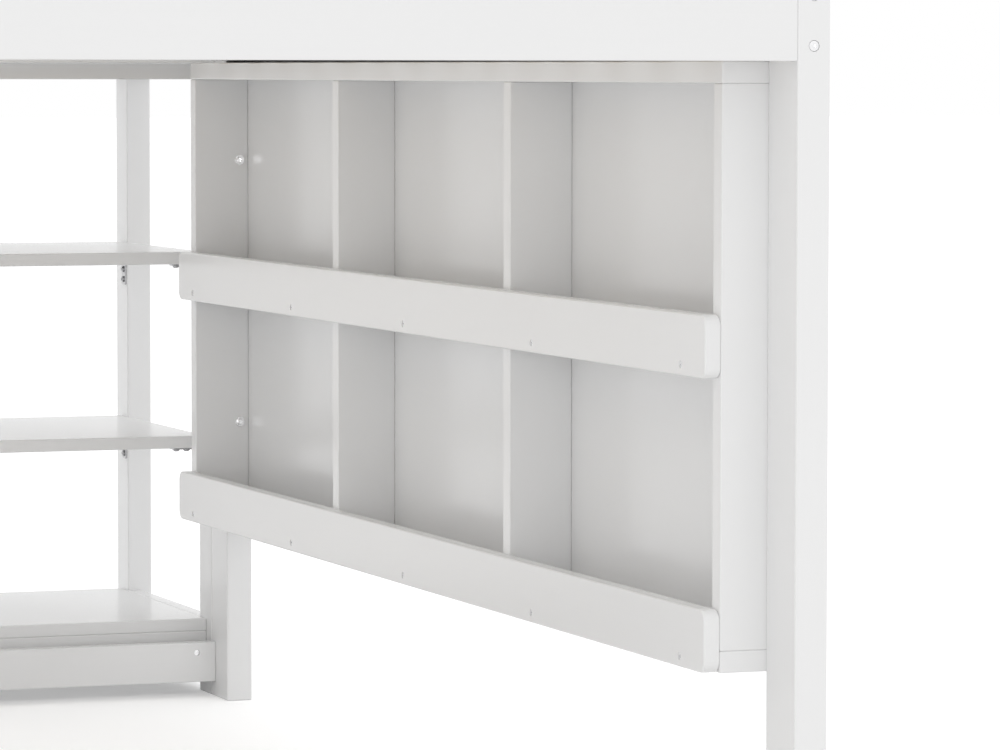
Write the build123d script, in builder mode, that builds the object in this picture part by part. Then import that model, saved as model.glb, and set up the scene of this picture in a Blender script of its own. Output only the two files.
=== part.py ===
from build123d import *

import os

os.makedirs("parts", exist_ok=True)

# A low loft bed of painted boards, with a book display case under its right side and an open shelf
# unit behind its far end. Millimetres. The floor is z = 0 and +Z is up. +X runs across the bed to
# the right and +Y along it to the far end. The origin is the middle of the footprint, on the floor.

# Bed frame
bed_width = 1062.0  # over the posts
rail_span = 1844.0  # between the near and the far posts
post_w = 35.0  # across the bed
post_d = 73.0  # along the bed
clear_h = 864.5  # free height under the end boards, and the top of case and shelf unit
post_rise = 375.5  # the posts over that height
end_rail_h = 100.0
end_board_t = 22.0
side_rail_h = 73.0
side_rail_t = 35.0
side_rail_gap = 3.5  # over the case's top, closed by its back
guard_board_h = 73.0
guard_board_t = 22.0
guard_reveal = 6.0  # the post's top over the top guard board
stretcher_z = 21.0
stretcher_h = 54.0
stretcher_t = 20.0

# Mattress deck
ledger_h = 25.0
ledger_t = 22.0
slat_count = 15
slat_w = 64.0
slat_t = 18.0
slat_end_gap = 6.0  # from the first slat to the post's line
slat_side_gap = 1.0

# Ladder and entry on the left side
entry_width = 380.0  # from the near post to the guard post
ladder_stile_w = 35.0  # along the bed
ladder_d = 73.0  # out from the bed
ladder_inset = 42.5  # from the near post to the near stile
tread_t = 22.0
tread_count = 3

# Book display case
case_depth = 85.0
case_h = 613.0
case_board_t = 22.0
case_back_t = 11.0
shelf_rise = 296.0  # from the case's underside to the shelf's
bay_count = 3
lip_h = 64.0
lip_t = 17.5
lip_corner = 12.0

# Open shelf unit
unit_l = 470.0
unit_post_d = 56.0
unit_top_t = 22.0
unit_shelf_t = 17.0
unit_shelf_inset = 24.0  # from the posts' outer faces to the shelf's edge
unit_bottom_top_z = 103.0
unit_tier = 252.0
kick_z = 16.0
kick_t = 19.0
apron_z = 16.0
apron_t = 20.0

# Metal corner brackets
bracket_leg = 44.0
bracket_w = 16.0
bracket_t = 2.5
bracket_corner = 2.0
bracket_hole_near = 22.0
bracket_hole_far = 36.5
bracket_inset = 20.0  # from the shelf's edge to the bracket's middle

# Bolts with flat heads, and their cross nuts
bolt_r = 2.45
bolt_head_r = 5.2
bolt_head_t = 3.0
bolt_socket_r = 2.3
bolt_socket_depth = 2.2
bolt_recess = 0.5  # head below the surface
bolt_tip = 7.0  # past the nut's middle
long_bolt = 100.0
short_bolt = 65.0
nut_r = 4.0
nut_l = 14.0
nut_slot = 1.2
bolt_fit = 0.3
head_fit = 0.5
nut_fit = 0.15
bore_room = 1.0  # past the end of a bolt, nut, screw or dowel

# Washer-head bolts that hold the case to the posts
case_bolt_r = 3.0
case_bolt_head_r = 4.2
case_bolt_head_t = 2.6
case_bolt_edge = 0.8
case_washer_r = 6.5
case_washer_t = 1.2
case_washer_edge = 0.3
case_bolt_l = 55.0
case_bolt_back = 12.0  # from the case's back board
case_bolt_inset = 130.0  # from the case's top and underside

# Screws and dowels
screw_r = 2.0
screw_head_r = 3.4
screw_head_t = 2.4
screw_sink = 0.8  # head below the surface
screw_rim = 0.5  # open rim round a sunk head
screw_fit = 0.1
edge_screw = 40.0
case_screw = 50.0
bracket_screw = 14.0
pan_head_r = 4.6
pan_head_t = 2.8
recess_l = 4.0
recess_w = 0.9
recess_depth = 1.3
dowel_r = 4.0
dowel_l = 30.0
dowel_chamfer = 1.0
dowel_fit = 0.1
dowel_thin = 10.0  # how far a dowel goes into the face of a thin board

# Places of the fasteners on their boards
rail_bolt_pitch = 50.0
guard_bolt_drop = 12.0
guard_dowel_rise = 20.0
end_bolt_rise = 12.0
end_dowel_drop = 24.0
stretcher_bolt_drop = 14.0
stretcher_dowel_rise = 14.0
guard_post_bolt_pitch = 36.0
tread_dowel_pitch = 44.0
unit_bolt_low_z = 420.0
unit_bolt_high_z = 700.0
kick_bolt_z = 40.0
kick_dowel_z = 68.0
apron_bolt_z = 56.0
apron_dowel_drop = 14.0
panel_fixing_front = 20.0
panel_fixing_pitch = 34.0
lip_screw_inset = 65.0
lip_screw_count = 5
ledger_screw_stride = 2  # a screw at every second gap between slats

# Eased edges
post_ease = 2.0
board_ease = 1.5
slat_ease = 2.0
lip_ease = 2.0

# Ways along the axes
RIGHT, LEFT = Vector(1, 0, 0), Vector(-1, 0, 0)
FAR, NEAR = Vector(0, 1, 0), Vector(0, -1, 0)
UP, DOWN = Vector(0, 0, 1), Vector(0, 0, -1)

# Lines across the bed: outer and inner faces of the posts, case and lips
x_right = (bed_width + ladder_d) / 2
x_left = x_right - bed_width
x_in_right = x_right - post_w
x_in_left = x_left + post_w
x_post_right = x_right - post_w / 2
x_post_left = x_left + post_w / 2
x_rail_right = x_right - side_rail_t
x_rail_left = x_left + side_rail_t
x_case = x_right - case_depth
x_back = x_right - case_back_t
x_lip = x_case - lip_t
x_ladder = x_left - ladder_d

# Lines along the bed: ends of the bed, of the rails and of the shelf unit
y_near = -(2 * post_d + rail_span + unit_l) / 2
y_rail_near = y_near + post_d
y_rail_far = y_rail_near + rail_span
y_far = y_rail_far + post_d
y_unit_near = y_far + unit_post_d
y_end = y_far + unit_l
y_unit_far = y_end - unit_post_d

# Levels
post_h = clear_h + post_rise
z_rail = clear_h + side_rail_gap
z_rail_top = z_rail + side_rail_h
z_ledger_top = z_rail + ledger_h
z_deck = z_ledger_top + slat_t
z_guard_top = post_h - guard_reveal
z_top_guard = z_guard_top - guard_board_h
z_middle_guard = (z_rail_top + z_top_guard - guard_board_h) / 2
z_case = clear_h - case_h
z_case_floor = z_case + case_board_t
z_case_roof = clear_h - case_board_t
z_shelf = z_case + shelf_rise
z_shelf_top = z_shelf + case_board_t
z_unit_roof = clear_h - unit_top_t
guard_levels = (z_middle_guard, z_top_guard)

# Each side is its outer face, the line of its posts' middles, its inner face and the way inward.
sides = {
    "right": (x_right, x_post_right, x_in_right, LEFT),
    "left": (x_left, x_post_left, x_in_left, RIGHT),
}
# Each end of the bed is its outer face, the post's face towards the rails and the way inward.
ends = {
    "near": (y_near, y_rail_near, FAR),
    "far": (y_far, y_rail_far, NEAR),
}


def span(low, size):
    """The two limits of something that starts at a place and has a size."""
    return low, low + size


def middle(limits):
    """Half way between two limits."""
    return (limits[0] + limits[1]) / 2


def save(piece, name):
    """Label a finished piece and write it to a file of its own."""
    piece.part.label = name
    export_step(piece.part, f"parts/{name}.step")


def turned(steps):
    """A solid turned about Z from its radii at depths below z = 0."""
    with BuildPart() as solid:
        with BuildSketch(Plane.XZ):
            with BuildLine():
                Polyline(
                    (0, 0), *[(r, -depth) for r, depth in steps], (0, -steps[-1][1]), close=True
                )
            make_face()
        revolve(axis=Axis.Z)
    return solid.part


# Each fastener is made once, hanging down from z = 0, and its group holds one at each place. The
# drillings are the holes that all fasteners need, and each piece gives way to those that reach it.
places = {
    name: []
    for name in (
        "long_bolts",
        "short_bolts",
        "cross_nuts",
        "case_bolts",
        "case_screws",
        "lip_and_back_screws",
        "deck_screws",
        "bracket_screws",
        "dowels",
    )
}
drillings = []


def placed(at, out, along=None):
    """The place at a point, with its own Z pointing out of the surface there."""
    return Plane(origin=at, x_dir=along, z_dir=out).location


def drill(tool, place):
    """Note a hole that is cut wherever it reaches a piece."""
    drillings.append((tool, place, tool.moved(place).bounding_box()))


def drilled(piece):
    """Take the holes that reach a piece out of it."""
    box = piece.part.bounding_box()
    for tool, place, reach in drillings:
        apart = (
            reach.min.X >= box.max.X
            or reach.max.X <= box.min.X
            or reach.min.Y >= box.max.Y
            or reach.max.Y <= box.min.Y
            or reach.min.Z >= box.max.Z
            or reach.max.Z <= box.min.Z
        )
        if not apart:
            with Locations(place):
                add(tool, mode=Mode.SUBTRACT)


def bolt_bore(length):
    """The hole for a flat-headed bolt: a seat for its head and room for its shank."""
    seat = bolt_recess + bolt_head_t
    return turned(
        [
            (bolt_head_r + head_fit, 0),
            (bolt_head_r + head_fit, seat),
            (bolt_r + bolt_fit, seat),
            (bolt_r + bolt_fit, seat + length + bore_room),
        ]
    )


case_bolt_rise = case_bolt_head_t + case_washer_t
bolt_bores = {"long_bolts": bolt_bore(long_bolt), "short_bolts": bolt_bore(short_bolt)}
bolt_lengths = {"long_bolts": long_bolt, "short_bolts": short_bolt}


def bolt_joint(kind, at, way, nut_way, nut_reach):
    """A bolt from a point on a surface, and its cross nut, which goes in by a face of its board."""
    at = Vector(*at)
    place = placed(at, way * -1)
    places[kind].append(placed(at + way * bolt_recess, way * -1))
    drill(bolt_bores[kind], place)
    nut_depth = bolt_recess + bolt_head_t + bolt_lengths[kind] - bolt_tip
    nut_at = at + way * nut_depth
    places["cross_nuts"].append(placed(nut_at + nut_way * (nut_l / 2), nut_way, way))
    nut_bore = turned([(nut_r + nut_fit, 0), (nut_r + nut_fit, nut_reach + nut_l / 2)])
    drill(nut_bore, placed(nut_at + nut_way * nut_reach, nut_way))


dowel_bore = turned([(dowel_r + dowel_fit, 0), (dowel_r + dowel_fit, dowel_l + bore_room)])


def dowel_joint(at, way, first=dowel_l / 2):
    """A dowel across a joint, with a stated part of its length before the joint."""
    at = Vector(*at)
    places["dowels"].append(placed(at - way * first, way * -1))
    drill(dowel_bore, placed(at - way * (first + bore_room / 2), way * -1))


def screw_bore(length):
    """The hole for a countersunk screw."""
    r = screw_r + screw_fit
    rim_r = screw_head_r + screw_rim
    sink = screw_sink + screw_fit
    return turned(
        [
            (rim_r, 0),
            (rim_r, sink),
            (screw_head_r + screw_fit, sink),
            (r, sink + screw_head_t),
            (r, screw_sink + length + bore_room),
        ]
    )


edge_screw_bore = screw_bore(edge_screw)
case_screw_bore = screw_bore(case_screw)
case_bolt_bore = turned([(case_bolt_r + screw_fit, 0), (case_bolt_r + screw_fit, case_bolt_l)])
bracket_screw_bore = turned([(screw_r + screw_fit, 0), (screw_r + screw_fit, bracket_screw)])


def screw(group, bore, at, way):
    """A countersunk screw from a point on a surface."""
    at = Vector(*at)
    places[group].append(placed(at + way * screw_sink, way * -1))
    drill(bore, placed(at, way * -1))


# Side rails, guard boards, end boards and stretchers meet the posts.
z_rail_bolts = [z_rail + side_rail_h / 2 + rise for rise in (-rail_bolt_pitch / 2, rail_bolt_pitch / 2)]
y_guard_post = span(y_rail_near + entry_width, post_d)
for side, (x_out, x_post, x_in, inward) in sides.items():
    for end, (y_out, y_in, along) in ends.items():
        for z in z_rail_bolts:
            under_ledger = z - nut_r < z_ledger_top
            reach = side_rail_t - post_w / 2 + (ledger_t if under_ledger else 0)
            bolt_joint("long_bolts", (x_post, y_out, z), along, inward, reach)
        for z in guard_levels:
            z_mid = z + guard_board_h / 2
            by_guard_post = side == "left" and end == "near"
            y_bolt = y_guard_post[0] if by_guard_post else y_out
            y_joint = y_guard_post[1] if by_guard_post else y_in
            bolt_at = (x_post, y_bolt, z_mid - guard_bolt_drop)
            bolt_joint("long_bolts", bolt_at, along, inward, guard_board_t / 2)
            dowel_joint((x_post, y_joint, z_mid + guard_dowel_rise), along)
            y_board = y_out + along.Y * end_board_t / 2
            bolt_at = (x_out, y_board, z_mid + end_bolt_rise)
            bolt_joint("short_bolts", bolt_at, inward, along, end_board_t / 2)
            dowel_joint((x_in, y_board, z_mid - end_dowel_drop), inward)
        for rise in (-rail_bolt_pitch / 2, rail_bolt_pitch / 2):
            y_board = y_out + along.Y * end_board_t / 2
            bolt_at = (x_out, y_board, clear_h + end_rail_h / 2 + rise)
            bolt_joint("short_bolts", bolt_at, inward, along, end_board_t / 2)
        y_stretcher = y_out + along.Y * stretcher_t / 2
        bolt_at = (x_out, y_stretcher, stretcher_z + stretcher_h - stretcher_bolt_drop)
        bolt_joint("short_bolts", bolt_at, inward, along, stretcher_t / 2)
        dowel_joint((x_in, y_stretcher, stretcher_z + stretcher_dowel_rise), inward)

# The guard post stands on the left rail, and the ladder is bolted to that rail and to the post.
for shift in (-guard_post_bolt_pitch / 2, guard_post_bolt_pitch / 2):
    bolt_at = (x_post_left, middle(y_guard_post) + shift, z_rail)
    bolt_joint("long_bolts", bolt_at, UP, RIGHT, post_w / 2)
y_near_stile = span(y_rail_near + ladder_inset, ladder_stile_w)
y_far_stile = span(middle(y_guard_post) - ladder_stile_w / 2, ladder_stile_w)
for stile in (y_near_stile, y_far_stile):
    for z, nut_way in zip(z_rail_bolts, (DOWN, UP)):
        reach = (side_rail_h - rail_bolt_pitch) / 2
        bolt_joint("long_bolts", (x_ladder, middle(stile), z), RIGHT, nut_way, reach)
z_between_guards = (z_middle_guard + guard_board_h + z_top_guard) / 2
bolt_at = (x_ladder, middle(y_far_stile), z_between_guards)
bolt_joint("long_bolts", bolt_at, RIGHT, NEAR, post_d / 2)

# Treads rise to the deck in equal steps.
y_treads = (y_near_stile[1], y_far_stile[0])
tread_tops = [z_deck * step / (tread_count + 1) for step in range(1, tread_count + 1)]
x_tread = x_ladder + ladder_d / 2
for z_top in tread_tops:
    z_mid = z_top - tread_t / 2
    stile_joints = ((y_near_stile[0], y_treads[0], FAR), (y_far_stile[1], y_treads[1], NEAR))
    for y_face, y_joint, way in stile_joints:
        bolt_joint("short_bolts", (x_tread, y_face, z_mid), way, DOWN, tread_t / 2)
        for shift in (-tread_dowel_pitch / 2, tread_dowel_pitch / 2):
            dowel_joint((x_tread + shift, y_joint, z_mid), way)

# Slats lie on the ledgers, and the ledgers are screwed to the rails between slats.
slat_pitch = (rail_span - slat_w - 2 * slat_end_gap) / (slat_count - 1)
slat_lines = [y_rail_near + slat_end_gap + slat_w / 2 + slat_pitch * k for k in range(slat_count)]
for x_rail, inward in ((x_rail_right, LEFT), (x_rail_left, RIGHT)):
    x_ledger_face = x_rail + inward.X * ledger_t
    x_ledger_mid = x_rail + inward.X * ledger_t / 2
    for k, y in enumerate(slat_lines):
        screw("deck_screws", edge_screw_bore, (x_ledger_mid, y, z_deck), DOWN)
        if k % ledger_screw_stride == 0 and k < slat_count - 1:
            ledger_at = (x_ledger_face, y + slat_pitch / 2, z_rail + ledger_h / 2)
            screw("deck_screws", edge_screw_bore, ledger_at, inward * -1)

# The case's upright panels stand between its top and bottom, and its shelf runs between the ends.
case_y = (y_rail_near, y_rail_far)
bay_w = (rail_span - (bay_count + 1) * case_board_t) / bay_count
panel_lines = [y_rail_near + case_board_t / 2 + (bay_w + case_board_t) * k for k in range(bay_count + 1)]
fixing_lines = (x_case + panel_fixing_front, x_case + panel_fixing_front + panel_fixing_pitch)
for y in panel_lines:
    for x in fixing_lines:
        screw("case_screws", case_screw_bore, (x, y, clear_h), DOWN)
        screw("case_screws", case_screw_bore, (x, y, z_case), UP)
for y in panel_lines[1:-1]:
    for x in fixing_lines:
        dowel_joint((x, y, z_shelf), DOWN, dowel_thin)
        dowel_joint((x, y, z_shelf_top), UP, dowel_thin)
for y, way in ((y_rail_near + case_board_t, FAR), (y_rail_far - case_board_t, NEAR)):
    for x in fixing_lines:
        dowel_joint((x, y, middle((z_shelf, z_shelf_top))), way, dowel_thin)
    for z in (z_case + case_bolt_inset, clear_h - case_bolt_inset):
        bolt_at = Vector(x_back - case_bolt_back, y, z)
        places["case_bolts"].append(placed(bolt_at + way * case_bolt_rise, way))
        drill(case_bolt_bore, placed(bolt_at, way))

# Lips and back are screwed to the edges of the case's boards.
lip_screw_pitch = (rail_span - 2 * lip_screw_inset) / (lip_screw_count - 1)
lip_screw_lines = [y_rail_near + lip_screw_inset + lip_screw_pitch * k for k in range(lip_screw_count)]
for y in lip_screw_lines:
    for z in (z_case, z_shelf):
        screw("lip_and_back_screws", edge_screw_bore, (x_lip, y, z + case_board_t / 2), RIGHT)
    for z in (z_case, z_shelf, z_case_roof):
        screw("lip_and_back_screws", edge_screw_bore, (x_right, y, z + case_board_t / 2), LEFT)

# The shelf unit is bolted to the bed's far posts. Its lowest shelf sits on the kick board and
# between the aprons, its top lies on the posts, and brackets carry the shelves between.
shelf_y = (y_far + unit_shelf_inset, y_end - unit_shelf_inset)
kick_top = unit_bottom_top_z - unit_shelf_t
y_kick = shelf_y[0] + kick_t / 2
for side, (x_out, x_post, x_in, inward) in sides.items():
    for z in (unit_bolt_low_z, unit_bolt_high_z):
        bolt_joint("long_bolts", (x_post, y_unit_near, z), NEAR, inward, post_w / 2)
    bolt_joint("short_bolts", (x_out, y_kick, kick_bolt_z), inward, FAR, kick_t / 2)
    dowel_joint((x_in, y_kick, kick_dowel_z), inward)
    x_apron = x_in - inward.X * apron_t / 2
    for y_face, y_joint, way in ((y_far, y_unit_near, FAR), (y_end, y_unit_far, NEAR)):
        bolt_joint("long_bolts", (x_apron, y_face, apron_bolt_z), way, inward, apron_t / 2)
        dowel_joint((x_apron, y_joint, unit_bottom_top_z - apron_dowel_drop), way)
    for share in (1 / 3, 2 / 3):
        y = y_unit_near + (y_unit_far - y_unit_near) * share
        dowel_joint((x_in, y, unit_bottom_top_z - unit_shelf_t / 2), inward, dowel_thin)
    for y in (y_far + unit_post_d / 2, y_end - unit_post_d / 2):
        dowel_joint((x_post, y, z_unit_roof), UP, dowel_l - dowel_thin)

shelf_levels = {
    "unit_bottom_shelf": kick_top,
    "unit_middle_shelf": kick_top + unit_tier,
    "unit_upper_shelf": kick_top + 2 * unit_tier,
}
bracket_places = []
for z in (shelf_levels["unit_middle_shelf"], shelf_levels["unit_upper_shelf"]):
    for x_out, x_post, x_in, inward in sides.values():
        for y in (shelf_y[0] + bracket_inset, shelf_y[1] - bracket_inset):
            corner = Vector(x_in, y, z)
            bracket_places.append(placed(corner, UP, inward))
            for reach in (bracket_hole_near, bracket_hole_far):
                for leg_way, out in ((inward, DOWN), (DOWN, inward)):
                    screw_at = corner + leg_way * reach
                    head_at = screw_at + out * (bracket_t + pan_head_t)
                    places["bracket_screws"].append(placed(head_at, out))
                    drill(bracket_screw_bore, placed(screw_at, out))


def board(name, x, y, z, ease=board_ease):
    """One board between its limits along each axis, its edges eased, drilled for its fasteners."""
    with BuildPart() as piece:
        with BuildSketch(Plane.XY.offset(z[0])):
            with Locations((middle(x), middle(y))):
                Rectangle(x[1] - x[0], y[1] - y[0])
        extrude(amount=z[1] - z[0])
        fillet(piece.edges(), ease)
        drilled(piece)
    save(piece, name)


# Posts
side_x = {"right": (x_in_right, x_right), "left": (x_left, x_in_left)}
for side, x in side_x.items():
    board(f"post_near_{side}", x, (y_near, y_rail_near), (0, post_h), post_ease)
    board(f"post_far_{side}", x, (y_rail_far, y_far), (0, post_h), post_ease)
board("guard_post", side_x["left"], y_guard_post, (z_rail_top, post_h), post_ease)

# End boards and stretchers
inner_x = (x_in_left, x_in_right)
end_y = {"near": span(y_near, end_board_t), "far": (y_far - end_board_t, y_far)}
stretcher_y = {"near": span(y_near, stretcher_t), "far": (y_far - stretcher_t, y_far)}
for end in ends:
    board(f"{end}_end_rail", inner_x, end_y[end], span(clear_h, end_rail_h))
    board(f"{end}_middle_board", inner_x, end_y[end], span(z_middle_guard, guard_board_h))
    board(f"{end}_top_board", inner_x, end_y[end], span(z_top_guard, guard_board_h))
    board(f"{end}_stretcher", inner_x, stretcher_y[end], span(stretcher_z, stretcher_h))

# Side rails, ledgers and guard boards
rail_y = (y_rail_near, y_rail_far)
rail_z = span(z_rail, side_rail_h)
ledger_z = span(z_rail, ledger_h)
board("right_side_rail", (x_rail_right, x_right), rail_y, rail_z)
board("left_side_rail", (x_left, x_rail_left), rail_y, rail_z)
board("right_slat_ledger", (x_rail_right - ledger_t, x_rail_right), rail_y, ledger_z)
board("left_slat_ledger", (x_rail_left, x_rail_left + ledger_t), rail_y, ledger_z)
guard_y = {"right": rail_y, "left": (y_guard_post[1], y_rail_far)}
for side, (x_out, x_post, x_in, inward) in sides.items():
    guard_x = (x_post - guard_board_t / 2, x_post + guard_board_t / 2)
    board(f"{side}_middle_guard", guard_x, guard_y[side], span(z_middle_guard, guard_board_h))
    board(f"{side}_top_guard", guard_x, guard_y[side], span(z_top_guard, guard_board_h))

# Slats
with BuildPart() as mattress_slats:
    slat_x = (x_rail_left + slat_side_gap, x_rail_right - slat_side_gap)
    with BuildSketch(Plane.XY.offset(z_ledger_top)):
        with Locations(*[(middle(slat_x), y) for y in slat_lines]):
            Rectangle(slat_x[1] - slat_x[0], slat_w)
    extrude(amount=slat_t)
    fillet(mattress_slats.edges(), slat_ease)
    drilled(mattress_slats)
save(mattress_slats, "mattress_slats")

# Ladder
ladder_x = (x_ladder, x_left)
board("ladder_near_stile", ladder_x, y_near_stile, (0, z_guard_top), post_ease)
board("ladder_far_stile", ladder_x, y_far_stile, (0, z_guard_top), post_ease)
for tread_name, z_top in zip(("lower", "middle", "upper"), tread_tops):
    board(f"ladder_{tread_name}_tread", ladder_x, y_treads, (z_top - tread_t, z_top), post_ease)

# Book display case
case_x = (x_case, x_back)
board("bookcase_top", case_x, case_y, (z_case_roof, clear_h))
board("bookcase_bottom", case_x, case_y, (z_case, z_case_floor))
board("bookcase_back", (x_back, x_right), case_y, (z_case, z_rail))
board("bookcase_near_end", case_x, span(y_rail_near, case_board_t), (z_case_floor, z_case_roof))
board("bookcase_far_end", case_x, (y_rail_far - case_board_t, y_rail_far), (z_case_floor, z_case_roof))
between_ends = (y_rail_near + case_board_t, y_rail_far - case_board_t)
board("bookcase_shelf", case_x, between_ends, (z_shelf, z_shelf_top))
for end, line in zip(("near", "far"), panel_lines[1:-1]):
    divider_y = (line - case_board_t / 2, line + case_board_t / 2)
    board(f"bookcase_lower_{end}_divider", case_x, divider_y, (z_case_floor, z_shelf))
    board(f"bookcase_upper_{end}_divider", case_x, divider_y, (z_shelf_top, z_case_roof))
for name, z in (("lower_book_lip", z_case), ("upper_book_lip", z_shelf)):
    with BuildPart() as lip:
        with BuildSketch(Plane.YZ.offset(x_lip)):
            with Locations((middle(case_y), z + lip_h / 2)):
                RectangleRounded(rail_span, lip_h, lip_corner)
        extrude(amount=lip_t)
        lip_sides = lip.faces().filter_by(Axis.X)
        fillet(lip_sides.edges(), lip_ease)
        drilled(lip)
    save(lip, name)

# Open shelf unit
unit_ends = {"near": (y_far, y_unit_near), "far": (y_unit_far, y_end)}
for side, x in side_x.items():
    for end, y in unit_ends.items():
        board(f"unit_post_{end}_{side}", x, y, (0, z_unit_roof), post_ease)
board("unit_top", (x_left, x_right), (y_far, y_end), (z_unit_roof, clear_h))
for name, z in shelf_levels.items():
    board(name, inner_x, shelf_y, span(z, unit_shelf_t))
board("unit_kick_board", inner_x, span(shelf_y[0], kick_t), (kick_z, kick_top))
apron_y = (y_unit_near, y_unit_far)
board("unit_right_apron", span(x_in_right, apron_t), apron_y, (apron_z, unit_bottom_top_z))
board("unit_left_apron", (x_in_left - apron_t, x_in_left), apron_y, (apron_z, unit_bottom_top_z))

# Corner bracket: one leg under the shelf, the other down the post, both with eased corners
with BuildPart() as bracket:
    bracket_holes = (bracket_hole_near, bracket_hole_far)
    with BuildSketch(Plane.XY) as under_leg:
        Rectangle(bracket_leg, bracket_w, align=(Align.MIN, Align.CENTER))
        fillet(under_leg.vertices().group_by(Axis.X)[-1], bracket_corner)
        with Locations(*[(reach, 0) for reach in bracket_holes]):
            Circle(screw_r + bolt_fit, mode=Mode.SUBTRACT)
    extrude(amount=-bracket_t)
    with BuildSketch(Plane.YZ) as down_leg:
        Rectangle(bracket_w, bracket_leg, align=(Align.CENTER, Align.MAX))
        fillet(down_leg.vertices().group_by(Axis.Z)[0], bracket_corner)
        with Locations(*[(0, -reach) for reach in bracket_holes]):
            Circle(screw_r + bolt_fit, mode=Mode.SUBTRACT)
    extrude(amount=bracket_t)
with BuildPart() as shelf_brackets:
    with Locations(*bracket_places):
        add(bracket.part)
save(shelf_brackets, "shelf_brackets")


def flat_bolt(length):
    """A flat-headed bolt with a hexagon socket."""
    with BuildPart() as bolt:
        add(
            turned(
                [
                    (bolt_head_r, 0),
                    (bolt_head_r, bolt_head_t),
                    (bolt_r, bolt_head_t),
                    (bolt_r, bolt_head_t + length),
                ]
            )
        )
        with BuildSketch(Plane.XY):
            RegularPolygon(bolt_socket_r, 6)
        extrude(amount=-bolt_socket_depth, mode=Mode.SUBTRACT)
    return bolt.part


def crossed(shape):
    """A screw with a cross recess in its head."""
    with BuildPart() as solid:
        add(shape)
        with BuildSketch(Plane.XY):
            Rectangle(recess_l, recess_w)
            Rectangle(recess_w, recess_l)
        extrude(amount=-recess_depth, mode=Mode.SUBTRACT)
    return solid.part


def sunk_screw(length):
    """A countersunk screw."""
    return crossed(turned([(screw_head_r, 0), (screw_r, screw_head_t), (screw_r, length)]))


with BuildPart() as cross_nut:
    Cylinder(nut_r, nut_l, align=(Align.CENTER, Align.CENTER, Align.MAX))
    with Locations(Plane(origin=(0, 0, -nut_l / 2), z_dir=(1, 0, 0))):
        Cylinder(bolt_r + bolt_fit, 2 * nut_r, mode=Mode.SUBTRACT)
    with BuildSketch(Plane.XY):
        Rectangle(2 * nut_r, nut_slot)
    extrude(amount=-nut_slot, mode=Mode.SUBTRACT)

pan_screw = turned(
    [
        (pan_head_r - pan_head_t / 2, 0),
        (pan_head_r, pan_head_t / 2),
        (pan_head_r, pan_head_t),
        (screw_r, pan_head_t),
        (screw_r, pan_head_t + bracket_screw),
    ]
)
case_bolt = turned(
    [
        (case_bolt_head_r - case_bolt_edge, 0),
        (case_bolt_head_r, case_bolt_edge),
        (case_bolt_head_r, case_bolt_head_t),
        (case_washer_r - case_washer_edge, case_bolt_head_t),
        (case_washer_r, case_bolt_head_t + case_washer_edge),
        (case_washer_r, case_bolt_rise),
        (case_bolt_r, case_bolt_rise),
        (case_bolt_r, case_bolt_l),
    ]
)
fasteners = {
    "long_bolts": flat_bolt(long_bolt),
    "short_bolts": flat_bolt(short_bolt),
    "cross_nuts": cross_nut.part,
    "case_bolts": crossed(case_bolt),
    "case_screws": sunk_screw(case_screw),
    "lip_and_back_screws": sunk_screw(edge_screw),
    "deck_screws": sunk_screw(edge_screw),
    "bracket_screws": crossed(pan_screw),
    "dowels": turned(
        [
            (dowel_r - dowel_chamfer, 0),
            (dowel_r, dowel_chamfer),
            (dowel_r, dowel_l - dowel_chamfer),
            (dowel_r - dowel_chamfer, dowel_l),
        ]
    ),
}
for name, shape in fasteners.items():
    with BuildPart() as group:
        with Locations(*places[name]):
            add(shape)
    save(group, name)
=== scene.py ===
"""A low loft bed with a book display case and an open shelf unit: its finishes, stage and camera.

Lengths are metres in the model's own frame: the floor is z = 0, +X runs across the bed to the book
case's side and +Y along it to the shelf unit's end.
"""

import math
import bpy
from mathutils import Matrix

bl_info = {
    "name": "Loft bed",
    "version": (1, 0, 0),
    "blender": (4, 5, 0),
    "location": "3D View > Sidebar > Loft bed",
    "description": "Finishes a loft bed with its book case and shelf unit, and sets up its stage",
    "category": "Object",
}

import bmesh
import bpy
from bpy.props import FloatProperty, FloatVectorProperty, PointerProperty
from mathutils import Euler, Vector

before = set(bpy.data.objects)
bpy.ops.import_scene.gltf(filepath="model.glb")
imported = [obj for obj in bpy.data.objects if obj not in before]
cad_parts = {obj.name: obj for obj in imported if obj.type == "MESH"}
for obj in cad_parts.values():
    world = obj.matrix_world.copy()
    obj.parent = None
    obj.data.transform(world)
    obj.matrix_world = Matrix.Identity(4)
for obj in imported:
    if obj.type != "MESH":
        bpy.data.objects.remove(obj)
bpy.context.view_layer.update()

# Pieces of the frame, in the groups that are finished together
POSTS = [
    "post_near_right",
    "post_near_left",
    "post_far_right",
    "post_far_left",
    "guard_post",
]
SIDE_BOARDS = [
    "right_side_rail",
    "left_side_rail",
    "right_slat_ledger",
    "left_slat_ledger",
    "right_middle_guard",
    "left_middle_guard",
    "right_top_guard",
    "left_top_guard",
]
END_BOARDS = [
    "near_end_rail",
    "near_middle_board",
    "near_top_board",
    "near_stretcher",
    "far_end_rail",
    "far_middle_board",
    "far_top_board",
    "far_stretcher",
]
LADDER_STILES = ["ladder_near_stile", "ladder_far_stile"]
LADDER_TREADS = ["ladder_lower_tread", "ladder_middle_tread", "ladder_upper_tread"]
CASE_BOARDS = [
    "bookcase_top",
    "bookcase_bottom",
    "bookcase_shelf",
    "bookcase_near_end",
    "bookcase_far_end",
    "bookcase_lower_near_divider",
    "bookcase_lower_far_divider",
    "bookcase_upper_near_divider",
    "bookcase_upper_far_divider",
]
CASE_LIPS = ["lower_book_lip", "upper_book_lip"]
UNIT_POSTS = [
    "unit_post_near_right",
    "unit_post_near_left",
    "unit_post_far_right",
    "unit_post_far_left",
]
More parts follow.
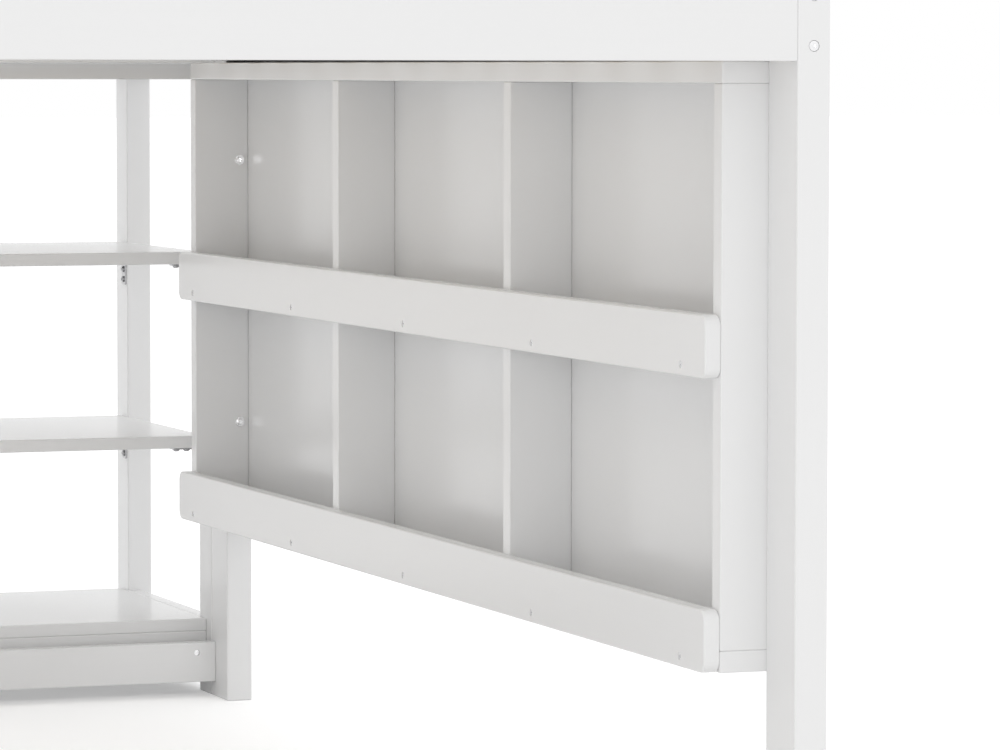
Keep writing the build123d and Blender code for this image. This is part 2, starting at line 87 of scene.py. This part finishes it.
UNIT_BOARDS = [
    "unit_top",
    "unit_upper_shelf",
    "unit_middle_shelf",
    "unit_bottom_shelf",
    "unit_kick_board",
]
UNIT_APRONS = ["unit_right_apron", "unit_left_apron"]
BRACKET_PIECES = ["shelf_brackets", "bracket_screws"]
STEEL_PIECES = [
    "long_bolts",
    "short_bolts",
    "cross_nuts",
    "case_bolts",
    "case_screws",
    "lip_and_back_screws",
    "deck_screws",
]

# How many times a texture repeats in a metre across the grain and along it
GRAIN_ACROSS = 260.0
GRAIN_ALONG = 7.0
AXES = "XYZ"

# White paint. Marks are counted in a metre, and a shade is what it leaves of the colour.
PAINT_SHEEN = 0.3  # strength of the mirror-like reflection, where 0.5 is the usual one
PAINT_CLOUDS = 5.0
ROLLER_MARKS = 620.0
CLOUD_SHADE = 0.992
GRAIN_SHADE = 0.985
PAINT_GLOSS_RANGE = (-0.03, 0.04)  # how far the roughness strays from its mean

# Bare pine. Each pair is how often a mark repeats in a metre across the grain and along it.
RING_GRAIN = (22.0, 1.3)
FIBRE_GRAIN = (900.0, 20.0)
KNOT_GRAIN = (7.0, 2.2)
RING_BANDS = 26.0
LOG_SHIFT = (9.0, 0.3, 0.3)  # how far apart in a log the slats may have been, in metres
FIBRE_SHADE = 0.8
KNOT_SHADE = 0.42
FIBRE_DEPTH = 0.00006
RING_DEPTH = 0.00003

# Bare beech
FLECKS = 900.0
FLECK_SHADE = 0.72
FLECK_DEPTH = 0.00005

# Zinc plate
ZINC_CLOUDS = 160.0
ZINC_SPECKS = 2600.0
ZINC_SHADE = 0.93
ZINC_DEPTH = 0.00001
ZINC_GLOSS_RANGE = (-0.08, 0.1)  # how far the roughness strays from its mean


class PaintSettings(bpy.types.PropertyGroup):
    """The white paint of all boards and posts."""

    colour: FloatVectorProperty(
        name="Colour",
        description="Colour of the paint",
        subtype="COLOR",
        min=0.0,
        max=1.0,
        default=(0.87, 0.87, 0.87),
    )
    roughness: FloatProperty(
        name="Roughness",
        description="Low for gloss paint, high for matt paint",
        subtype="FACTOR",
        min=0.0,
        max=1.0,
        default=0.2,
    )
    roller_relief: FloatProperty(
        name="Roller relief",
        description="Depth of the fine texture that the roller leaves",
        unit="LENGTH",
        min=0.0,
        default=0.00001,
    )
    grain_relief: FloatProperty(
        name="Grain relief",
        description="Depth to which the wood's grain shows through the paint",
        unit="LENGTH",
        min=0.0,
        default=0.00002,
    )


class WoodSettings(bpy.types.PropertyGroup):
    """The bare wood of slats and dowels."""

    pine_light: FloatVectorProperty(
        name="Pine, early wood",
        description="Colour between the growth rings of the slats",
        subtype="COLOR",
        min=0.0,
        max=1.0,
        default=(0.76, 0.68, 0.57),
    )
    pine_dark: FloatVectorProperty(
        name="Pine, late wood",
        description="Colour of the slats' growth rings",
        subtype="COLOR",
        min=0.0,
        max=1.0,
        default=(0.64, 0.53, 0.4),
    )
    beech: FloatVectorProperty(
        name="Beech",
        description="Colour of the dowels",
        subtype="COLOR",
        min=0.0,
        max=1.0,
        default=(0.56, 0.36, 0.22),
    )
    slat_pitch: FloatProperty(
        name="Slat pitch",
        description="Distance from slat to slat, after which the wood's tone changes",
        unit="LENGTH",
        min=0.01,
        default=0.126286,
    )


class SteelSettings(bpy.types.PropertyGroup):
    """The bright zinc plate on bolts, screws and nuts, and the duller one on brackets."""

    colour: FloatVectorProperty(
        name="Colour",
        description="Colour of the zinc plate on bolts, screws and nuts",
        subtype="COLOR",
        min=0.0,
        max=1.0,
        default=(0.88, 0.88, 0.89),
    )
    bracket_colour: FloatVectorProperty(
        name="Bracket colour",
        description="Colour of the duller plate on the shelf brackets and their screws",
        subtype="COLOR",
        min=0.0,
        max=1.0,
        default=(0.42, 0.42, 0.43),
    )
    roughness: FloatProperty(
        name="Roughness",
        description="Mean roughness of the zinc plate",
        subtype="FACTOR",
        min=0.0,
        max=1.0,
        default=0.22,
    )


class StageSettings(bpy.types.PropertyGroup):
    """Floor, light and camera."""

    floor_size: FloatProperty(
        name="Floor size",
        description="Length of the floor's sides",
        unit="LENGTH",
        min=1.0,
        default=160.0,
    )
    floor_colour: FloatVectorProperty(
        name="Floor colour",
        description="Colour of the floor",
        subtype="COLOR",
        min=0.0,
        max=1.0,
        default=(0.94, 0.94, 0.94),
    )
    floor_lift: FloatProperty(
        name="Floor lift",
        description="How much whiter the camera sees the floor than it is",
        min=0.0,
        max=1.0,
        default=0.3,
    )
    sky_strength: FloatProperty(
        name="Sky strength",
        description="Strength of the even light from all round",
        min=0.0,
        default=0.95,
    )
    front_power: FloatProperty(
        name="Front lamp",
        description="Power of the large lamp behind the camera, in watts",
        min=0.0,
        default=110.0,
    )
    lens: FloatProperty(
        name="Lens",
        description="Focal length of the camera in millimetres",
        min=1.0,
        default=178.69,
    )


def add_node(tree, kind, inputs=None, **settings):
    """A shader node with its settings, and its inputs set or linked."""
    node = tree.nodes.new(kind)
    for name, value in settings.items():
        setattr(node, name, value)
    for name, value in (inputs or {}).items():
        if isinstance(value, bpy.types.NodeSocket):
            tree.links.new(value, node.inputs[name])
        else:
            node.inputs[name].default_value = value
    return node


def empty_material(name):
    """A new node material with a principled surface, and the two nodes."""
    material = bpy.data.materials.new(name)
    material.use_nodes = True
    tree = material.node_tree
    tree.nodes.clear()
    surface = add_node(tree, "ShaderNodeBsdfPrincipled")
    output = add_node(tree, "ShaderNodeOutputMaterial")
    tree.links.new(surface.outputs["BSDF"], output.inputs["Surface"])
    return material, tree, surface


def rgba(colour, share=1.0):
    """A colour times a share, with full alpha."""
    return (*(part * share for part in colour), 1.0)


def noise(tree, vector, scale, detail=3.0, roughness=0.5, distortion=0.0):
    """The value of a noise texture."""
    inputs = {
        "Vector": vector,
        "Scale": scale,
        "Detail": detail,
        "Roughness": roughness,
        "Distortion": distortion,
    }
    return add_node(tree, "ShaderNodeTexNoise", inputs).outputs["Fac"]


def blend_colours(tree, factor, first, second):
    """A mix of two colours."""
    mix = add_node(tree, "ShaderNodeMix", data_type="RGBA")
    tree.links.new(factor, mix.inputs["Factor"])
    for socket, colour in ((mix.inputs[6], first), (mix.inputs[7], second)):
        if isinstance(colour, bpy.types.NodeSocket):
            tree.links.new(colour, socket)
        else:
            socket.default_value = colour
    return mix.outputs[2]


def spread(tree, value, low, high, from_low=0.0, from_high=1.0):
    """A value moved from one range to another."""
    inputs = {
        "Value": value,
        "From Min": from_low,
        "From Max": from_high,
        "To Min": low,
        "To Max": high,
    }
    return add_node(tree, "ShaderNodeMapRange", inputs).outputs["Result"]


def relief(tree, height, depth, under=None):
    """A bump of a real depth, over another one where given."""
    inputs = {"Height": height, "Distance": depth, "Strength": 1.0}
    if under is not None:
        inputs["Normal"] = under
    return add_node(tree, "ShaderNodeBump", inputs).outputs["Normal"]


def along_grain(tree, place, axis, across=GRAIN_ACROSS, along=GRAIN_ALONG):
    """Coordinates drawn out along one axis, as the grain of a board is."""
    scale = [across] * 3
    scale[AXES.index(axis)] = along
    return add_node(
        tree, "ShaderNodeMapping", {"Vector": place, "Scale": scale}
    ).outputs["Vector"]


def white_paint(paint, axis=None):
    """Semi-gloss white paint: on pine whose grain runs along an axis, or on plain board."""
    name = f"white_paint_on_pine_{axis.lower()}" if axis else "white_paint_on_board"
    made = bpy.data.materials.get(name)
    if made:
        return made
    material, tree, surface = empty_material(name)
    place = add_node(tree, "ShaderNodeTexCoord").outputs["Object"]
    clouds = noise(tree, place, PAINT_CLOUDS, detail=2.0)
    peel = noise(tree, place, ROLLER_MARKS, detail=2.0, roughness=0.6)
    tone = blend_colours(
        tree,
        spread(tree, clouds, 0.0, 1.0, 0.3, 0.7),
        rgba(paint.colour, CLOUD_SHADE),
        rgba(paint.colour),
    )
    bump = relief(tree, peel, paint.roller_relief)
    if axis:
        grain = noise(tree, along_grain(tree, place, axis), 1.0, detail=4.0, roughness=0.6)
        share = spread(tree, grain, 0.0, 0.35, 0.62, 0.3)
        tone = blend_colours(tree, share, tone, rgba(paint.colour, GRAIN_SHADE))
        bump = relief(tree, grain, paint.grain_relief, bump)
    tree.links.new(tone, surface.inputs["Base Color"])
    low, high = (paint.roughness + part for part in PAINT_GLOSS_RANGE)
    gloss = spread(tree, peel, low, high, 0.3, 0.7)
    tree.links.new(gloss, surface.inputs["Roughness"])
    tree.links.new(bump, surface.inputs["Normal"])
    surface.inputs["Specular IOR Level"].default_value = PAINT_SHEEN
    return material


def bare_pine(wood):
    """Planed pine whose grain runs across the bed, with knots, and another tone in each slat."""
    material, tree, surface = empty_material("bare_pine")
    place = add_node(tree, "ShaderNodeTexCoord").outputs["Object"]
    parts = add_node(tree, "ShaderNodeSeparateXYZ", {"Vector": place})
    share = add_node(
        tree,
        "ShaderNodeMath",
        {0: parts.outputs["Y"], 1: wood.slat_pitch},
        operation="DIVIDE",
    )
    slat = add_node(tree, "ShaderNodeMath", {0: share.outputs[0]}, operation="ROUND")
    chance = add_node(
        tree,
        "ShaderNodeTexWhiteNoise",
        {"W": slat.outputs[0]},
        noise_dimensions="1D",
    )
    moved = add_node(
        tree,
        "ShaderNodeVectorMath",
        {0: chance.outputs["Color"], 1: LOG_SHIFT},
        operation="MULTIPLY",
    )
    log_place = add_node(
        tree, "ShaderNodeVectorMath", {0: place, 1: moved.outputs[0]}, operation="ADD"
    ).outputs[0]
    drawn = along_grain(tree, log_place, "X", *RING_GRAIN)
    warp = noise(tree, drawn, 1.2, detail=2.0, distortion=0.6)
    rings = add_node(
        tree,
        "ShaderNodeMath",
        {0: warp, 1: RING_BANDS},
        operation="MULTIPLY",
    )
    bands = add_node(tree, "ShaderNodeMath", {0: rings.outputs[0]}, operation="SINE")
    fibre = noise(tree, along_grain(tree, log_place, "X", *FIBRE_GRAIN), 1.0, detail=3.0)
    dark = spread(tree, bands.outputs[0], 0.0, 0.75, 0.1, 1.0)
    body = blend_colours(tree, dark, rgba(wood.pine_light), rgba(wood.pine_dark))
    fine_share = spread(tree, fibre, 0.0, 0.5, 0.45, 0.75)
    fine = blend_colours(tree, fine_share, body, rgba(wood.pine_dark, FIBRE_SHADE))
    knots = add_node(
        tree,
        "ShaderNodeTexVoronoi",
        {"Vector": along_grain(tree, log_place, "X", *KNOT_GRAIN), "Scale": 1.0},
    ).outputs["Distance"]
    knot = spread(tree, knots, 1.0, 0.0, 0.05, 0.11)
    marked = blend_colours(tree, knot, fine, rgba(wood.pine_dark, KNOT_SHADE))
    tree.links.new(marked, surface.inputs["Base Color"])
    tree.links.new(spread(tree, fibre, 0.5, 0.7), surface.inputs["Roughness"])
    bump = relief(tree, fibre, FIBRE_DEPTH)
    bump = relief(tree, bands.outputs[0], RING_DEPTH, bump)
    tree.links.new(bump, surface.inputs["Normal"])
    return material


def bare_beech(wood):
    """Turned beech with short dark flecks."""
    material, tree, surface = empty_material("bare_beech")
    place = add_node(tree, "ShaderNodeTexCoord").outputs["Object"]
    flecks = noise(tree, place, FLECKS, detail=3.0, roughness=0.7)
    share = spread(tree, flecks, 0.0, 1.0, 0.4, 0.7)
    tone = blend_colours(tree, share, rgba(wood.beech), rgba(wood.beech, FLECK_SHADE))
    tree.links.new(tone, surface.inputs["Base Color"])
    tree.links.new(spread(tree, flecks, 0.55, 0.7), surface.inputs["Roughness"])
    tree.links.new(relief(tree, flecks, FLECK_DEPTH), surface.inputs["Normal"])
    return material


def zinc_plate(steel, name, colour):
    """Zinc-plated steel of one colour with a fine, slightly cloudy grain."""
    material, tree, surface = empty_material(name)
    place = add_node(tree, "ShaderNodeTexCoord").outputs["Object"]
    clouds = noise(tree, place, ZINC_CLOUDS, detail=3.0)
    fine = noise(tree, place, ZINC_SPECKS, detail=2.0)
    share = spread(tree, clouds, 0.0, 1.0, 0.3, 0.7)
    tone = blend_colours(tree, share, rgba(colour, ZINC_SHADE), rgba(colour))
    tree.links.new(tone, surface.inputs["Base Color"])
    low, high = (steel.roughness + part for part in ZINC_GLOSS_RANGE)
    gloss = spread(tree, clouds, low, high, 0.3, 0.7)
    tree.links.new(gloss, surface.inputs["Roughness"])
    tree.links.new(relief(tree, fine, ZINC_DEPTH), surface.inputs["Normal"])
    surface.inputs["Metallic"].default_value = 1.0
    return material


def finish_pieces(names, material):
    """Give pieces of the frame their finish."""
    for name in names:
        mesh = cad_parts[name].data
        mesh.materials.clear()
        mesh.materials.append(material)


class LOFTBED_OT_posts(bpy.types.Operator):
    """Paint the bed's posts"""

    bl_idname = "loft_bed.posts"
    bl_label = "Posts"

    def execute(self, context):
        finish_pieces(POSTS, white_paint(context.scene.loft_bed_paint, "Z"))
        return {"FINISHED"}


class LOFTBED_OT_side_boards(bpy.types.Operator):
    """Paint the side rails, the slats' ledgers and the guard boards"""

    bl_idname = "loft_bed.side_boards"
    bl_label = "Side rails and guard boards"

    def execute(self, context):
        finish_pieces(SIDE_BOARDS, white_paint(context.scene.loft_bed_paint, "Y"))
        return {"FINISHED"}


class LOFTBED_OT_end_boards(bpy.types.Operator):
    """Paint the boards and stretchers between the posts at both ends"""

    bl_idname = "loft_bed.end_boards"
    bl_label = "End boards"

    def execute(self, context):
        finish_pieces(END_BOARDS, white_paint(context.scene.loft_bed_paint, "X"))
        return {"FINISHED"}


class LOFTBED_OT_slats(bpy.types.Operator):
    """Give the slats their bare pine"""

    bl_idname = "loft_bed.slats"
    bl_label = "Slats"

    def execute(self, context):
        finish_pieces(["mattress_slats"], bare_pine(context.scene.loft_bed_wood))
        return {"FINISHED"}


class LOFTBED_OT_ladder(bpy.types.Operator):
    """Paint the ladder's stiles and treads"""

    bl_idname = "loft_bed.ladder"
    bl_label = "Ladder"

    def execute(self, context):
        paint = context.scene.loft_bed_paint
        finish_pieces(LADDER_STILES, white_paint(paint, "Z"))
        finish_pieces(LADDER_TREADS, white_paint(paint, "Y"))
        return {"FINISHED"}


class LOFTBED_OT_book_case(bpy.types.Operator):
    """Paint the book case and its lips"""

    bl_idname = "loft_bed.book_case"
    bl_label = "Book case"

    def execute(self, context):
        paint = context.scene.loft_bed_paint
        finish_pieces([*CASE_BOARDS, "bookcase_back"], white_paint(paint))
        finish_pieces(CASE_LIPS, white_paint(paint, "Y"))
        return {"FINISHED"}


class LOFTBED_OT_shelf_unit(bpy.types.Operator):
    """Paint the open shelf unit"""

    bl_idname = "loft_bed.shelf_unit"
    bl_label = "Shelf unit"

    def execute(self, context):
        paint = context.scene.loft_bed_paint
        finish_pieces(UNIT_POSTS, white_paint(paint, "Z"))
        finish_pieces(UNIT_BOARDS, white_paint(paint))
        finish_pieces(UNIT_APRONS, white_paint(paint, "Y"))
        return {"FINISHED"}


class LOFTBED_OT_hardware(bpy.types.Operator):
    """Plate the bolts, screws, nuts and brackets"""

    bl_idname = "loft_bed.hardware"
    bl_label = "Bolts, screws and brackets"

    def execute(self, context):
        steel = context.scene.loft_bed_steel
        finish_pieces(STEEL_PIECES, zinc_plate(steel, "zinc_plate", steel.colour))
        dull = zinc_plate(steel, "dull_zinc_plate", steel.bracket_colour)
        finish_pieces(BRACKET_PIECES, dull)
        return {"FINISHED"}


class LOFTBED_OT_dowels(bpy.types.Operator):
    """Give the dowels their bare beech"""

    bl_idname = "loft_bed.dowels"
    bl_label = "Dowels"

    def execute(self, context):
        finish_pieces(["dowels"], bare_beech(context.scene.loft_bed_wood))
        return {"FINISHED"}


# Camera of the picture, and where the lamp stands and aims
CAMERA_PLACE = (-1.4363, -5.7265, 0.8548)
CAMERA_TURN = (-3.509, -20.223, 0.072)  # tilt, turn to the left and roll, in degrees
FRONT_LAMP_PLACE = (-3.5, -14.0, 1.4)
LAMP_SIZE = 3.0
BED_MIDDLE = (0.0, 0.0, 0.6)
CAMERA_REACH = 200.0
FLOOR_SQUARES = 8  # along each side


def white_for_the_camera(tree, base, lift):
    """A strength for what the camera sees, straight or in a reflection, and another for light."""
    path = add_node(tree, "ShaderNodeLightPath")
    seen = add_node(
        tree,
        "ShaderNodeMath",
        {0: path.outputs["Is Camera Ray"], 1: path.outputs["Is Glossy Ray"]},
        operation="ADD",
    )
    seen = add_node(
        tree,
        "ShaderNodeMath",
        {0: seen.outputs[0], 1: path.outputs["Is Transmission Ray"]},
        operation="ADD",
        use_clamp=True,
    )
    return spread(tree, seen.outputs[0], base, lift)


def make_floor(stage):
    """A pale floor that stays white in the picture and keeps the bed's shadow."""
    shape = bmesh.new()
    bmesh.ops.create_grid(
        shape, x_segments=FLOOR_SQUARES, y_segments=FLOOR_SQUARES, size=stage.floor_size / 2
    )
    mesh = bpy.data.meshes.new("floor")
    shape.to_mesh(mesh)
    shape.free()
    floor = bpy.data.objects.new("floor", mesh)
    bpy.context.scene.collection.objects.link(floor)
    material = bpy.data.materials.new("pale_floor")
    material.use_nodes = True
    tree = material.node_tree
    tree.nodes.clear()
    matt = add_node(tree, "ShaderNodeBsdfDiffuse", {"Color": rgba(stage.floor_colour)})
    glow = add_node(
        tree,
        "ShaderNodeEmission",
        {
            "Color": rgba((1.0, 1.0, 1.0)),
            "Strength": white_for_the_camera(tree, 0.0, stage.floor_lift),
        },
    )
    both = add_node(tree, "ShaderNodeAddShader")
    tree.links.new(matt.outputs[0], both.inputs[0])
    tree.links.new(glow.outputs[0], both.inputs[1])
    output = add_node(tree, "ShaderNodeOutputMaterial")
    tree.links.new(both.outputs[0], output.inputs["Surface"])
    mesh.materials.append(material)


def make_sky(stage):
    """Even light from all round, behind which the camera sees white."""
    world = bpy.data.worlds.new("studio")
    world.use_nodes = True
    tree = world.node_tree
    tree.nodes.clear()
    background = add_node(
        tree,
        "ShaderNodeBackground",
        {
            "Color": rgba((1.0, 1.0, 1.0)),
            "Strength": white_for_the_camera(tree, stage.sky_strength, 1.0),
        },
    )
    output = add_node(tree, "ShaderNodeOutputWorld")
    tree.links.new(background.outputs[0], output.inputs["Surface"])
    bpy.context.scene.world = world


def make_lamp(name, place, power):
    """A square lamp that faces the bed and that the camera doesn't see."""
    data = bpy.data.lights.new(name, "AREA")
    data.shape = "SQUARE"
    data.size = LAMP_SIZE
    data.energy = power
    lamp = bpy.data.objects.new(name, data)
    bpy.context.scene.collection.objects.link(lamp)
    lamp.location = place
    aim = Vector(BED_MIDDLE) - Vector(place)
    lamp.rotation_euler = aim.to_track_quat("-Z", "Y").to_euler()
    lamp.visible_camera = False


def make_camera(stage):
    """The camera at the picture's angle."""
    data = bpy.data.cameras.new("camera")
    data.lens = stage.lens
    data.clip_end = CAMERA_REACH
    camera = bpy.data.objects.new("camera", data)
    bpy.context.scene.collection.objects.link(camera)
    camera.location = CAMERA_PLACE
    tilt, turn, roll = (math.radians(angle) for angle in CAMERA_TURN)
    look = Euler((math.pi / 2 + tilt, 0.0, turn)).to_matrix()
    camera.rotation_euler = (look @ Euler((0.0, 0.0, roll)).to_matrix()).to_euler()
    bpy.context.scene.camera = camera


class LOFTBED_OT_stage(bpy.types.Operator):
    """Set up the floor, the light and the camera"""

    bl_idname = "loft_bed.stage"
    bl_label = "Stage"

    def execute(self, context):
        stage = context.scene.loft_bed_stage
        make_floor(stage)
        make_sky(stage)
        make_lamp("front_lamp", FRONT_LAMP_PLACE, stage.front_power)
        make_camera(stage)
        context.scene.view_settings.view_transform = "Standard"
        return {"FINISHED"}


STEPS = (
    LOFTBED_OT_posts,
    LOFTBED_OT_side_boards,
    LOFTBED_OT_end_boards,
    LOFTBED_OT_slats,
    LOFTBED_OT_ladder,
    LOFTBED_OT_book_case,
    LOFTBED_OT_shelf_unit,
    LOFTBED_OT_hardware,
    LOFTBED_OT_dowels,
    LOFTBED_OT_stage,
)
SETTINGS = {
    "loft_bed_paint": PaintSettings,
    "loft_bed_wood": WoodSettings,
    "loft_bed_steel": SteelSettings,
    "loft_bed_stage": StageSettings,
}


class LOFTBED_PT_panel(bpy.types.Panel):
    """Settings and steps of the loft bed"""

    bl_idname = "LOFTBED_PT_panel"
    bl_label = "Loft bed"
    bl_space_type = "VIEW_3D"
    bl_region_type = "UI"
    bl_category = "Loft bed"

    def draw(self, context):
        for name in SETTINGS:
            box = self.layout.box()
            settings = getattr(context.scene, name)
            for key in settings.__annotations__:
                box.prop(settings, key)
        for step in STEPS:
            self.layout.operator(step.bl_idname)


def register():
    for settings in SETTINGS.values():
        bpy.utils.register_class(settings)
    for name, settings in SETTINGS.items():
        setattr(bpy.types.Scene, name, PointerProperty(type=settings))
    for step in STEPS:
        bpy.utils.register_class(step)
    bpy.utils.register_class(LOFTBED_PT_panel)


def unregister():
    bpy.utils.unregister_class(LOFTBED_PT_panel)
    for step in reversed(STEPS):
        bpy.utils.unregister_class(step)
    for name, settings in SETTINGS.items():
        delattr(bpy.types.Scene, name)
        bpy.utils.unregister_class(settings)


def main():
    """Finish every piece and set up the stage."""
    register()
    bpy.ops.loft_bed.posts()
    bpy.ops.loft_bed.side_boards()
    bpy.ops.loft_bed.end_boards()
    bpy.ops.loft_bed.slats()
    bpy.ops.loft_bed.ladder()
    bpy.ops.loft_bed.book_case()
    bpy.ops.loft_bed.shelf_unit()
    bpy.ops.loft_bed.hardware()
    bpy.ops.loft_bed.dowels()
    bpy.ops.loft_bed.stage()


if __name__ == "__main__":
    main()
